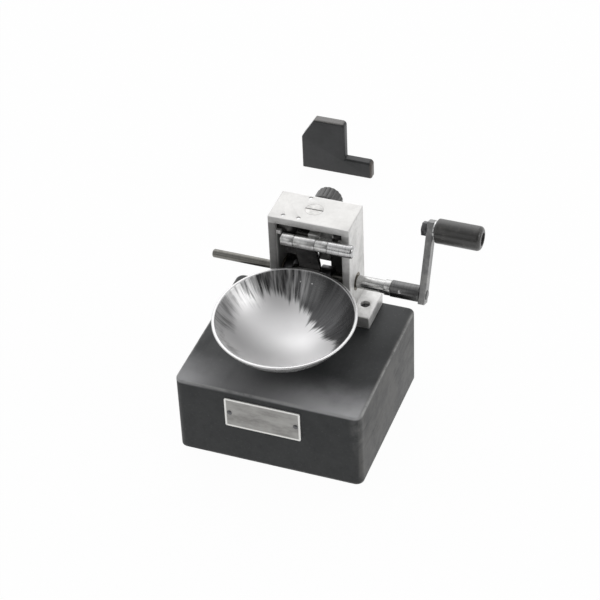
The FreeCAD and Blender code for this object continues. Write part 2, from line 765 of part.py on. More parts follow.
def make_grip():
    grip = Part.makeCylinder(grip_radius, grip_length, Vector(grip_start_x, 0, arm_reach), Vector(1, 0, 0))
    outer = edges_where(grip, lambda edge: not is_line(edge) and edge.BoundBox.XMin > grip_end_x - 1e-3)
    grip = grip.makeFillet(grip_outer_end_radius, outer)
    inner = edges_where(grip, lambda edge: not is_line(edge) and edge.BoundBox.XMax < grip_start_x + 1e-3)
    grip = grip.makeFillet(grip_inner_end_radius, inner)
    bore = Part.makeCylinder(spindle_radius + running_clearance, grip_length + 2,
                             Vector(grip_start_x - 1, 0, arm_reach), Vector(1, 0, 0))
    recess = Part.makeCylinder(spindle_head_radius + part_gap, grip_recess_depth + 1,
                               Vector(grip_end_x - grip_recess_depth, 0, arm_reach), Vector(1, 0, 0))
    return crank_place(grip.cut(bore).cut(recess))


def make_adjusting_screw():
    start = carriage_rear_y - adjuster_engagement
    return rod_y(adjuster_radius, start, knob_rear_y - knob_end_radius, 0, adjuster_z)


def make_adjusting_ring():
    start = rear_wall_inner_y - part_gap - adjuster_ring_width
    ring = rod_y(adjuster_ring_radius, start, start + adjuster_ring_width, 0, adjuster_z)
    return ring.cut(rod_y(adjuster_radius, start - 1, start + adjuster_ring_width + 1, 0, adjuster_z))


def knob_grub(extra, outer_radius):
    y = knob_front_y + knob_screw_behind_face
    start = Vector(0, y, adjuster_z - outer_radius)
    grub = Part.makeCylinder(grub_radius + extra, outer_radius, start, Vector(0, 0, 1))
    return grub.cut(rod_y(adjuster_radius, y - grub_radius * 2, y + grub_radius * 2, 0, adjuster_z))


def make_knob():
    knob = rod_y(knob_radius, knob_front_y, knob_rear_y, 0, adjuster_z)
    ends = edges_where(knob, lambda edge: not is_line(edge) and edge.BoundBox.YMin > knob_rear_y - 1e-3)
    knob = knob.makeFillet(knob_end_radius, ends)
    cutters = []
    for index in range(knob_flutes):
        turn = 2 * math.pi * index / knob_flutes
        reach = knob_radius + knob_flute_outset
        x = reach * math.cos(turn)
        z = adjuster_z + reach * math.sin(turn)
        cutters.append(rod_y(knob_flute_radius, knob_front_y + knob_flute_start, knob_rear_y + 1, x, z))
    knob = knob.cut(Part.makeCompound(cutters))
    knob = knob.cut(rod_y(adjuster_radius, knob_front_y - 1, knob_rear_y - knob_end_radius, 0, adjuster_z))
    return knob.cut(knob_grub(seat_clearance, knob_radius + 1))


def make_tool():
    right = tool_left_x + tool_body_width
    end = right + tool_stub_length
    bevel_end = tool_left_x + tool_bevel_width
    outline = [(tool_left_x, 0), (end, 0), (end, tool_stub_height), (right, tool_stub_height),
               (right, tool_height), (bevel_end, tool_height), (tool_left_x, tool_height - tool_bevel_height)]
    points = [Vector(x, tool_front_y, z) for x, z in outline]
    points.append(points[0])
    tool = Part.Face(Part.makePolygon(points)).extrude(Vector(0, tool_thickness, 0))

    def is_outer_corner(edge):
        place = edge.CenterOfMass
        in_the_notch = abs(place.x - right) < 1e-3 and place.z < tool_stub_height + 1
        return runs_along(edge, Vector(0, 1, 0)) and place.z > 1 and place.x > right - 1 and not in_the_notch

    tool = tool.makeFillet(tool_corner_radius, edges_where(tool, is_outer_corner))

    def is_upper_edge(edge):
        flat = edge.BoundBox.YLength < 1e-3
        high = edge.BoundBox.ZMin > tool_stub_height - tool_corner_radius - 1e-3
        return flat and high and edge.CenterOfMass.x > bevel_end

    return tool.makeFillet(tool_edge_radius, edges_where(tool, is_upper_edge))


os.makedirs("parts", exist_ok=True)

export("base_block", [make_base()])
export("nameplate", [make_plate()])
export("nameplate_rivets", make_plate_rivets())
export("support_block", [make_block()])
export("support_block_screws", make_block_screws())
export("shaft_bush_left", [make_bush(-1)])
export("shaft_bush_right", [make_bush(1)])
export("carriage_lock_screw", [make_lock_screw()])
export("top_grub_screws", make_top_grubs())
export("hinge_carriage", [make_carriage()])
export("hinge_pin", [make_pin()])
export("cup", [make_cup()])
export("cup_hanger", [make_hanger()])
export("hanger_rivets", make_hanger_rivets())
export("adjusting_screw", [make_adjusting_screw()])
export("adjusting_screw_ring", [make_adjusting_ring()])
export("adjusting_knob", [make_knob()])
export("knob_grub_screw", [knob_grub(0, knob_radius - 1)])
export("drive_shaft", [make_shaft()])
export("drop_cam", [make_cam()])
export("cam_grub_screw", [radial_grub(cam_hub_middle_x, cam_hub_radius - grub_recess, 0)])
export("shaft_collar", [make_collar()])
export("collar_grub_screw", [radial_grub(collar_middle_x, collar_radius - grub_recess, 0)])
export("shaft_sleeve", [ring_x(sleeve_radius, sleeve_start_x, sleeve_end_x)])
export("sleeve_ring", [ring_x(sleeve_ring_radius, sleeve_end_x, hub_start_x)])
export("crank_hub", [make_crank_hub()])
export("crank_hub_pin", [crank_pin_shape(0)])
export("crank_arm", [make_crank_arm()])
export("handle_spindle", [make_spindle()])
export("spindle_nut", [make_nut()])
export("handle_washer", [make_washer()])
export("handle_grip", [make_grip()])
export("grooving_tool", [make_tool()])
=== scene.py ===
import json
import math

import bmesh
import bpy
from mathutils import Matrix, Vector

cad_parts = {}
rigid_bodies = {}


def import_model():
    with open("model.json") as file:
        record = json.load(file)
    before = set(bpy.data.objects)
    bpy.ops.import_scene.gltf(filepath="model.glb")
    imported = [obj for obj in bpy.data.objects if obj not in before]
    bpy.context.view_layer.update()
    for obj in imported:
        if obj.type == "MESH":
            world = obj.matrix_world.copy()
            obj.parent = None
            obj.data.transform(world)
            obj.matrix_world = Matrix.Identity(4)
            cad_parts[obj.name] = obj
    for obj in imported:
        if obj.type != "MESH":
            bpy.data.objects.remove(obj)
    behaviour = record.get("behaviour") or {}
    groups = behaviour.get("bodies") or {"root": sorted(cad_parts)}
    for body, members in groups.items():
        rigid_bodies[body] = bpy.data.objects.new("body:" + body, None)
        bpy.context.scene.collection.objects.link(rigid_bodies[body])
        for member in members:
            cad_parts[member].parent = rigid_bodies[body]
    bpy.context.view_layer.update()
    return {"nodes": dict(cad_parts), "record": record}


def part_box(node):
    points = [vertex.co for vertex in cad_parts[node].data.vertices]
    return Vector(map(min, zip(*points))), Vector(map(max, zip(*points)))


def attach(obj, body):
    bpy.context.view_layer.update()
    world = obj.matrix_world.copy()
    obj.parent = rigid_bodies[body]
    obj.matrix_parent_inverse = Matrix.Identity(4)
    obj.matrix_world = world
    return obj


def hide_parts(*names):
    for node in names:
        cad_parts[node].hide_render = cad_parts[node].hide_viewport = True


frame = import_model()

scene = bpy.context.scene
bodyOf = {}
for bodyName, bodyNodes in frame["record"]["behaviour"]["bodies"].items():
    for nodeName in bodyNodes:
        bodyOf[nodeName] = bodyName
lowest, highest = {}, {}
for nodeName in frame["nodes"]:
    lowest[nodeName], highest[nodeName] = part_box(nodeName)
print("frame loaded:", len(frame["nodes"]), "nodes")


def middleOf(node):
    return [(a + b) / 2 for a, b in zip(lowest[node], highest[node])]


def lengthOf(node, axis=0):
    return highest[node][axis] - lowest[node][axis]


# shader sums: a wire is a socket that takes part in Python expressions

class wire:
    def __init__(self, owner, socket):
        self.owner = owner
        self.socket = socket

    def sum(self, operation, first, second=None):
        values = {0: first}
        if second is not None:
            values[1] = second
        return self.owner.node("ShaderNodeMath", {"operation": operation}, values)

    def __add__(self, other):
        return self.sum("ADD", self, other)

    def __radd__(self, other):
        return self.sum("ADD", other, self)

    def __sub__(self, other):
        return self.sum("SUBTRACT", self, other)

    def __rsub__(self, other):
        return self.sum("SUBTRACT", other, self)

    def __mul__(self, other):
        return self.sum("MULTIPLY", self, other)

    def __rmul__(self, other):
        return self.sum("MULTIPLY", other, self)

    def __truediv__(self, other):
        return self.sum("DIVIDE", self, other)

    def __rtruediv__(self, other):
        return self.sum("DIVIDE", other, self)

    def __pow__(self, other):
        return self.sum("POWER", self, other)

    def __abs__(self):
        return self.sum("ABSOLUTE", self)

    def least(self, other):
        return self.sum("MINIMUM", self, other)

    def most(self, other):
        return self.sum("MAXIMUM", self, other)

    def ramp(self, start, end):  # 0 at start, 1 at end, smooth between
        return self.owner.node("ShaderNodeMapRange", {"interpolation_type": "SMOOTHSTEP"},
                               {0: self, 1: start, 2: end, 3: 0.0, 4: 1.0})


class finish:  # one material, built on the Principled shader
    def __init__(self, name, colour, metallic=0.0, roughness=0.5, specular=0.5, coat=0.0):
        self.material = bpy.data.materials.new(name)
        self.material.use_nodes = True
        self.tree = self.material.node_tree
        self.shader = self.tree.nodes["Principled BSDF"]
        self.set({"Base Color": colour + (1.0,), "Metallic": metallic, "Roughness": roughness,
                  "Specular IOR Level": specular, "Coat Weight": coat, "Coat Roughness": 0.12})
        self.material.diffuse_color = colour + (1.0,)

    def set(self, values):
        for key, value in values.items():
            self.plug(self.shader.inputs[key], value)

    def plug(self, socket, value):
        if isinstance(value, wire):
            self.tree.links.new(value.socket, socket)
        else:
            socket.default_value = value

    def node(self, kind, settings=None, values=None, outlet=0):
        made = self.tree.nodes.new(kind)
        for key, value in (settings or {}).items():
            setattr(made, key, value)
        for key, value in (values or {}).items():
            self.plug(made.inputs[key], value)
        return wire(self, made.outputs[outlet])

    def place(self, centre=(0, 0, 0), turn=(0, 0, 0), stretch=(1, 1, 1)):
        raw = self.node("ShaderNodeTexCoord", outlet="Object")
        moved = self.node("ShaderNodeVectorMath", {"operation": "SUBTRACT"}, {0: raw, 1: centre})
        return self.node("ShaderNodeMapping", {"vector_type": "POINT"}, {0: moved, 2: turn, 3: stretch})

    def split(self, vector):
        first = self.node("ShaderNodeSeparateXYZ", None, {0: vector})
        outlets = first.socket.node.outputs
        return [wire(self, outlets[index]) for index in range(3)]

    def join(self, x, y, z):
        return self.node("ShaderNodeCombineXYZ", None, {0: x, 1: y, 2: z})

    def noise(self, vector, scale, detail, roughness):
        return self.node("ShaderNodeTexNoise", {"noise_dimensions": "3D"},
                         {"Vector": vector, "Scale": scale, "Detail": detail, "Roughness": roughness})

    def blend(self, factor, first, second):
        values = {0: factor}
        for index, colour in ((6, first), (7, second)):
            values[index] = colour if isinstance(colour, wire) else colour + (1.0,)
        return self.node("ShaderNodeMix", {"data_type": "RGBA"}, values, outlet=2)

    def bump(self, height, strength, distance):
        normal = self.node("ShaderNodeBump", None,
                           {"Strength": strength, "Distance": distance, "Height": height})
        self.set({"Normal": normal})

    def edges(self, low, high, width):  # 1 along the edges of an upright box, 0 elsewhere
        centre = [(a + b) / 2 for a, b in zip(low, high)]
        half = [(b - a) / 2 for a, b in zip(low, high)]
        x, y, z = self.split(self.place(centre))
        dx, dy, dz = half[0] - abs(x), half[1] - abs(y), half[2] - abs(z)
        second = dx.least(dy).most(dx.most(dy).least(dz))
        return 1.0 - second.ramp(0.0, width)


# meshes

def newPiece(name, mesh, node, material, sharp=35.0):
    mesh.materials.clear()
    mesh.materials.append(material.material)
    mesh.shade_smooth()
    mesh.set_sharp_from_angle(angle=math.radians(sharp))
    piece = bpy.data.objects.new(name, mesh)
    scene.collection.objects.link(piece)
    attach(piece, bodyOf[node])
    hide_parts(node)
    return piece


def finished(mesh, modifiers):  # applies modifiers to a mesh and hands back the plain result
    holder = bpy.data.objects.new("holder", mesh)
    scene.collection.objects.link(holder)
    for kind, settings in modifiers:
        modifier = holder.modifiers.new(kind, kind)
        for key, value in settings.items():
            setattr(modifier, key, value)
    evaluated = holder.evaluated_get(bpy.context.evaluated_depsgraph_get())
    result = bpy.data.meshes.new_from_object(evaluated)
    bpy.data.objects.remove(holder)
    return result


def bevelled(width, segments=2, angle=30.0):
    return ("BEVEL", {"width": width, "segments": segments, "limit_method": "ANGLE",
                      "angle_limit": math.radians(angle)})


def cleanCopy(node):  # a CAD node's own form, merged and with its flat faces whole
    form = bmesh.new()
    form.from_mesh(frame["nodes"][node].data)
    bmesh.ops.remove_doubles(form, verts=form.verts, dist=1e-6)
    bmesh.ops.dissolve_limit(form, angle_limit=math.radians(0.6), verts=form.verts, edges=form.edges)
    mesh = bpy.data.meshes.new(node)
    form.to_mesh(mesh)
    form.free()
    return mesh


def dressed(node, material, bevel):
    mesh = cleanCopy(node)
    if bevel:
        mesh = finished(mesh, [bevelled(bevel)])
    return newPiece(node + "Form", mesh, node, material)


def roundCorners(points, radius, steps=3, closed=True):  # rounds each corner of an outline
    result = []
    count = len(points)
    for index, point in enumerate(points):
        if not closed and index in (0, count - 1):
            result.append(tuple(point))
            continue
        here = Vector(point)
        before = Vector(points[index - 1]) - here
        after = Vector(points[(index + 1) % count]) - here
        reach = min(radius, before.length * 0.45, after.length * 0.45)
        if reach < 1e-7 or abs(before.normalized().dot(after.normalized())) > 0.9995:
            result.append(tuple(point))
            continue
        first = here + before.normalized() * reach
        last = here + after.normalized() * reach
        for step in range(steps + 1):
            share = step / steps
            result.append(tuple(first.lerp(here, share).lerp(here.lerp(last, share), share)))
    return result


# geometry nodes, built by a small recipe class

class recipe:
    def __init__(self, name):
        self.group = bpy.data.node_groups.new(name, "GeometryNodeTree")
        self.enter = self.group.nodes.new("NodeGroupInput")
        self.leave = self.group.nodes.new("NodeGroupOutput")
        self.ids = {}

    def input(self, name, kind="NodeSocketFloat", value=None):
        socket = self.group.interface.new_socket(name, in_out="INPUT", socket_type=kind)
        if value is not None:
            socket.default_value = value
        self.ids[name] = socket.identifier
        return wire(self, self.enter.outputs[name])

    def node(self, kind, settings=None, values=None, outlet=0):
        made = self.group.nodes.new(kind)
        for key, value in (settings or {}).items():
            setattr(made, key, value)
        for key, value in (values or {}).items():
            if isinstance(value, wire):
                self.group.links.new(value.socket, made.inputs[key])
            else:
                made.inputs[key].default_value = value
        return wire(self, made.outputs[outlet])

    def split(self, vector):
        outlets = self.node("ShaderNodeSeparateXYZ", None, {0: vector}).socket.node.outputs
        return [wire(self, outlet) for outlet in outlets]

    def join(self, x, y, z):
        return self.node("ShaderNodeCombineXYZ", None, {0: x, 1: y, 2: z})

    def finish(self, geometry):
        self.group.interface.new_socket("Geometry", in_out="OUTPUT", socket_type="NodeSocketGeometry")
        self.group.links.new(geometry.socket, self.leave.inputs[0])

    def mesh(self, values, start=None):  # runs the recipe and hands back a plain mesh
        holder = bpy.data.objects.new("holder", start or bpy.data.meshes.new("empty"))
        scene.collection.objects.link(holder)
        modifier = holder.modifiers.new("recipe", "NODES")
        modifier.node_group = self.group
        for name, value in values.items():
            modifier[self.ids[name]] = value
        evaluated = holder.evaluated_get(bpy.context.evaluated_depsgraph_get())
        result = bpy.data.meshes.new_from_object(evaluated)
        holder.modifiers.remove(modifier)
        bpy.data.objects.remove(holder)
        return result


def turnedRecipe():
    # sweeps a profile of (distance, radius) points round an axis, fluted if asked, once at each place
    tree = recipe("turnedRecipe")
    places = tree.input("Places", "NodeSocketGeometry")
    profile = tree.input("Profile", "NodeSocketObject")
    turn = tree.input("Turn", "NodeSocketVector")
    sides = tree.input("Sides", "NodeSocketInt", 96)
    flutes = tree.input("Flutes", "NodeSocketFloat", 0.0)
    fluteDepth = tree.input("Flute depth", "NodeSocketFloat", 0.0)
    fluteStart = tree.input("Flute start radius", "NodeSocketFloat", 0.0)
    fluteEnd = tree.input("Flute end radius", "NodeSocketFloat", 1.0)
    metal = tree.input("Material", "NodeSocketMaterial")
    line = tree.node("GeometryNodeObjectInfo", {"transform_space": "ORIGINAL"}, {"Object": profile},
                     "Geometry")
    rows = tree.node("GeometryNodeAttributeDomainSize", {"component": "MESH"}, {"Geometry": line},
                     "Point Count")
    sheet = tree.node("GeometryNodeMeshGrid", None, {0: 1.0, 1: 1.0, 2: sides + 1.0, 3: rows})
    here = tree.node("GeometryNodeInputPosition")
    column, share, _ = tree.split(here)
    row = (share + 0.5) * (rows - 1.0) + 0.5
    point = tree.node("GeometryNodeSampleIndex", {"data_type": "FLOAT_VECTOR"},
                      {"Geometry": line, "Value": here, "Index": row.sum("FLOOR", row)})
    distance, radius, _ = tree.split(point)
    angle = (column + 0.5) * (2 * math.pi)
    halfTurn = angle * flutes * 0.5
    ripple = 1.0 - abs(halfTurn.sum("SINE", halfTurn)) ** 0.6
    fade = tree.node("ShaderNodeClamp", None, {0: (radius - fluteStart) / (fluteEnd - fluteStart)})
    reach = radius - fluteDepth * ripple * fade
    around = tree.join(distance, reach * angle.sum("COSINE", angle), reach * angle.sum("SINE", angle))
    shaped = tree.node("GeometryNodeSetPosition", None, {"Geometry": sheet, "Position": around})
    closed = tree.node("GeometryNodeMergeByDistance", None, {"Geometry": shaped, "Distance": 1e-6})
    spin = tree.node("FunctionNodeEulerToRotation", None, {0: turn})
    copies = tree.node("GeometryNodeInstanceOnPoints", None,
                       {"Points": places, "Instance": closed, "Rotation": spin})
    real = tree.node("GeometryNodeRealizeInstances", None, {"Geometry": copies})
    tree.finish(tree.node("GeometryNodeSetMaterial", None, {"Geometry": real, "Material": metal}))
    return tree


def pointMesh(name, points):
    mesh = bpy.data.meshes.new(name)
    mesh.from_pydata([tuple(point) for point in points], [], [])
    return mesh


def outward(mesh):  # merges doubles and turns every face outwards
    form = bmesh.new()
    form.from_mesh(mesh)
    bmesh.ops.remove_doubles(form, verts=form.verts, dist=1e-6)
    bmesh.ops.recalc_face_normals(form, faces=form.faces)
    form.to_mesh(mesh)
    form.free()
    return mesh


turning = turnedRecipe()


def turned(node, name, profile, material, axis=(1, 0, 0), places=None, rounding=0.0003,
           closed=False, sides=96, flutes=(0, 0.0, 0.0, 1.0)):
    # profile: (distance along the axis, radius), from the low end of the node's box if no place is given
    outline = roundCorners(profile, rounding, 3, closed)
    if closed:
        outline.append(outline[0])
    holder = bpy.data.objects.new("profile", pointMesh("profile", [(a, b, 0.0) for a, b in outline]))
    scene.collection.objects.link(holder)
    if places is None:
        low = lowest[node]
        places = [[low[k] if axis[k] else middleOf(node)[k] for k in range(3)]]
    turn = Vector((1, 0, 0)).rotation_difference(Vector(axis)).to_euler()
    count, depth, start, end = flutes
    mesh = turning.mesh({"Profile": holder, "Turn": tuple(turn), "Sides": sides,
                         "Flutes": float(count), "Flute depth": depth, "Flute start radius": start,
                         "Flute end radius": end, "Material": material.material},
                        pointMesh("places", places))
    bpy.data.objects.remove(holder)
    return newPiece(name, outward(mesh), node, material)


# finishes

bowl = {"insideRadius": 0.054, "wall": 0.002, "depth": 0.027, "lean": math.radians(4.5), "sides": 224,
        "rows": 116, "lipShare": 0.035, "rimBevel": 0.00045, "streakLength": 0.022, "streakStart": 0.043,
        "streakEdge": 0.005, "lipWidth": 0.0026, "lipBlend": 0.0006}
bowl["outerRadius"] = bowl["insideRadius"] + bowl["wall"]
bowl["rimDrop"] = bowl["insideRadius"] - bowl["depth"]
bowl["rimRadius"] = math.sqrt(bowl["outerRadius"] ** 2 - bowl["rimDrop"] ** 2)
bowl["centre"] = (0.0, middleOf("cup")[1] - bowl["rimDrop"] * math.sin(bowl["lean"]),
                  lowest["cup"][2] + bowl["outerRadius"])


def rubberFinish(low, high):
    skin = finish("hardRubber", (0.03, 0.032, 0.033), roughness=0.5, specular=0.35)
    place = skin.place()
    x, y, z = skin.split(place)
    cloudy = skin.noise(place, 34.0, 5.0, 0.62)
    speckle = skin.noise(place, 520.0, 3.0, 0.7)
    scuffs = skin.noise(skin.place(turn=(0, 0, 0.5), stretch=(1, 0.12, 1)), 260.0, 4.0, 0.6)
    wear = skin.edges(low, high, 0.002) * skin.noise(place, 90.0, 4.0, 0.7).ramp(0.3, 0.65)
    top = z.ramp(high[2] - 0.003, high[2] - 0.001)
    # painted sheen: the top is lighter near the front edge, most at the right corner and some at the left
    rubAndSheen = (1.0 - (y + cloudy * 0.02).ramp(-0.052, -0.012)) * (0.25 + x.ramp(-0.02, 0.05) * 0.75
                                                                + (0.0 - x).ramp(0.03, 0.066) * 0.5)
    blotches = skin.noise(place, 70.0, 5.0, 0.7)
    # painted light on the right side, broken up by blotches
    paintedSideLight = x.ramp(high[0] - 0.003, high[0] - 0.001) * (0.3 + blotches.ramp(0.36, 0.62) * 0.7)
    corner = x.ramp(high[0] - 0.009, high[0] - 0.003) * (1.0 - y.ramp(low[1] + 0.003, low[1] + 0.009))
    corner = corner * z.ramp(high[2] * 0.2, high[2]) * cloudy.ramp(0.35, 0.6)
    shade = skin.blend(cloudy.ramp(0.35, 0.7), (0.022, 0.024, 0.025), (0.038, 0.04, 0.041))
    shade = skin.blend(speckle.ramp(0.56, 0.76) * 0.4, shade, (0.09, 0.09, 0.092))
    # painted sheen on the top near the front
    shade = skin.blend(top * rubAndSheen * 0.9, shade, (0.5, 0.5, 0.51))
    shade = skin.blend(paintedSideLight * 0.7, shade, (0.125, 0.123, 0.117))
    shade = skin.blend(corner * 0.5, shade, (0.26, 0.26, 0.255))
    shade = skin.blend(wear * 0.8, shade, (0.44, 0.44, 0.43))
    skin.set({"Base Color": shade, "Roughness": 0.44 + cloudy * 0.14 + scuffs.ramp(0.5, 0.72) * 0.1})
    skin.bump(speckle * 0.6 + scuffs * 0.4, 0.3, 0.0001)
    return skin


def castFinish(low, high):
    # satin milled alloy with worn light edges; painted shade darkens the arch, the front face and the top
    skin = finish("castAlloy", (0.82, 0.81, 0.79), metallic=0.5, roughness=0.42)
    place = skin.place()
    x, y, z = skin.split(place)
    grain = skin.noise(place, 1500.0, 3.0, 0.6)
    stain = skin.noise(place, 75.0, 5.0, 0.65)
    mottle = skin.noise(place, 330.0, 3.0, 0.6)
    milled = skin.noise(skin.place(stretch=(1, 0.02, 1)), 900.0, 2.0, 0.5)
    wear = skin.edges(low, high, 0.0012)
    top = z.ramp(high[2] - 0.001, high[2] - 0.0002)
    # painted shade on the front face, weaker towards the right
    front = (1.0 - y.ramp(low[1] + 0.0002, low[1] + 0.001)) * (1.0 - x.ramp(0.012, 0.028) * 0.6)
    # painted shade: every surface within the arch is coloured near black, and made rougher and less
    # metallic
    halfCavity = post["width"] / 2 - post["wall"]
    cavityShade = (1.0 - abs(x).ramp(halfCavity - 0.0001, halfCavity + 0.0004))
    ceiling = high[2] - post["topWall"]
    cavityShade = cavityShade * (1.0 - z.ramp(ceiling - 0.0001, ceiling + 0.0005))
    cavityShade = cavityShade * z.ramp(low[2] + post["foot"] - 0.0005, low[2] + post["foot"] + 0.0002)
    cavityShade = cavityShade * y.ramp(low[1] + 0.0005, low[1] + 0.006)
    cavityShade = cavityShade * (1.0 - y.ramp(high[1] - 0.001, high[1] - 0.0004))
    shade = skin.blend(stain.ramp(0.36, 0.7), (0.86, 0.855, 0.84), (0.66, 0.655, 0.64))
    shade = skin.blend(mottle.ramp(0.5, 0.72) * 0.4, shade, (0.56, 0.555, 0.545))
    # painted shade: the top face is toned towards a darker grey
    shade = skin.blend(top * 0.6, shade, (0.72, 0.71, 0.69))
    shade = skin.blend(milled.ramp(0.55, 0.8) * 0.2, shade, (0.6, 0.6, 0.59))
    # painted shade on the front face, weaker on the strip above the arch
    lintel = z.ramp(ceiling - 0.0005, ceiling)
    shade = skin.blend(front * (0.83 - lintel * 0.5), shade, (0.13, 0.128, 0.125))
    shade = skin.blend(wear * 0.5, shade, (0.93, 0.93, 0.92))
    # painted shade within the arch
    shade = skin.blend(cavityShade * 0.93, shade, (0.05, 0.048, 0.046))
    skin.set({"Base Color": shade, "Roughness": 0.36 + grain * 0.16 + cavityShade * 0.2,
              "Metallic": 0.3 + stain * 0.25 - cavityShade * 0.3})
    skin.bump(grain + milled * 0.5, 0.22, 0.00006)
    return skin


def turnedFinish(name, centre, axis, colour, dark, metallic=1.0, roughness=0.24):
    # ground or turned metal: fine rings round its axis, darker in the tool marks
    skin = finish(name, colour, metallic=metallic, roughness=roughness)
    squeeze = [1.0 if part else 0.03 for part in axis]
    place = skin.place(centre, stretch=squeeze)
    rings = skin.noise(place, 2600.0, 3.0, 0.6)
    wide = [1.0 if part else 0.15 for part in axis]
    broad = skin.noise(skin.place(centre, stretch=wide), 260.0, 4.0, 0.6)
    smut = skin.noise(skin.place(), 120.0, 5.0, 0.65)
    shade = skin.blend(rings.ramp(0.45, 0.75) * 0.45, colour, dark)
    shade = skin.blend(smut.ramp(0.52, 0.75) * 0.45, shade, dark)
    skin.set({"Base Color": shade, "Roughness": roughness + broad * 0.14 + smut.ramp(0.5, 0.8) * 0.1})
    skin.bump(rings, 0.18, 0.00003)
    return skin


def hingeFinish(name, highlightPatches):
    # steel with painted highlights round the pin and on the patches (low x and z, high x and z), painted
    # shade elsewhere, and dark smut over all
    skin = finish(name, (0.5, 0.5, 0.5), metallic=0.95, roughness=0.25)
    x, y, z = skin.split(skin.place(middleOf("hinge_pin")))
    axisGap = (y * y + z * z) ** 0.5
    paintedHighlight = 1.0 - axisGap.ramp(pin["headRadius"], pin["headRadius"] + 0.0006)
    for low, high in highlightPatches:
        highlightPatch = x.ramp(low[0] - 0.0004, low[0]) * (1.0 - x.ramp(high[0], high[0] + 0.0004))
        highlightPatch = highlightPatch * z.ramp(low[1] - 0.0006, low[1]) * (1.0 - z.ramp(high[1], high[1] + 0.0006))
        paintedHighlight = paintedHighlight.most(highlightPatch)
    place = skin.place(middleOf("hinge_pin"), stretch=(1, 0.1, 0.1))
    rings = skin.noise(place, 1700.0, 3.0, 0.6)
    smut = skin.noise(skin.place(), 190.0, 5.0, 0.65)
    # painted highlight where the mask is 1, painted shade elsewhere
    shade = skin.blend(paintedHighlight, (0.05, 0.049, 0.048), (0.66, 0.66, 0.65))
    shade = skin.blend(smut.ramp(0.42, 0.7) * 0.5, shade, (0.12, 0.118, 0.115))
    shade = skin.blend(rings.ramp(0.5, 0.75) * paintedHighlight * 0.35, shade, (0.25, 0.25, 0.25))
    skin.set({"Base Color": shade, "Roughness": 0.2 + smut * 0.2})
    skin.bump(rings, 0.15, 0.00003)
    return skin


def screwFinish(name, centre, radius):
    # a flush screw head, with painted shade round its rim and in its slot
    skin = finish(name, (0.7, 0.69, 0.67), metallic=0.6, roughness=0.4)
    x, y, z = skin.split(skin.place(centre))
    gap = (x * x + y * y) ** 0.5
    marks = skin.noise(skin.join(gap * 60.0, 0.0, 0.0), 30.0, 3.0, 0.6)
    stain = skin.noise(skin.place(), 160.0, 4.0, 0.6)
    rim = gap.ramp(radius - 0.0008, radius - 0.0002)
    sunk = 1.0 - z.ramp(-0.0003, -0.0001)
    shade = skin.blend(stain.ramp(0.35, 0.7), (0.76, 0.75, 0.73), (0.55, 0.545, 0.53))
    shade = skin.blend(marks.ramp(0.5, 0.75) * 0.3, shade, (0.45, 0.45, 0.44))
    # painted shade in the rim gap and the slot
    shade = skin.blend(rim.most(sunk) * 0.5, shade, (0.42, 0.41, 0.4))
    skin.set({"Base Color": shade, "Roughness": 0.36 + stain * 0.15})
    skin.bump(marks, 0.15, 0.00004)
    return skin


def forgedFinish(name, colour, light, low, high):
    # dark steel bar with bright rubbed edges
    skin = finish(name, colour, metallic=0.85, roughness=0.38)
    place = skin.place()
    drawn = skin.noise(skin.place(stretch=(1, 0.3, 0.06)), 900.0, 3.0, 0.6)
    smut = skin.noise(place, 140.0, 5.0, 0.65)
    wear = skin.edges(low, high, 0.0008) * smut.ramp(0.3, 0.6)
    shade = skin.blend(smut.ramp(0.4, 0.72), colour, light)
    shade = skin.blend(drawn.ramp(0.5, 0.8) * 0.4, shade, light)
    shade = skin.blend(wear * 0.8, shade, (0.62, 0.62, 0.61))
    skin.set({"Base Color": shade, "Roughness": 0.3 + smut * 0.2})
    skin.bump(drawn, 0.2, 0.00004)
    return skin


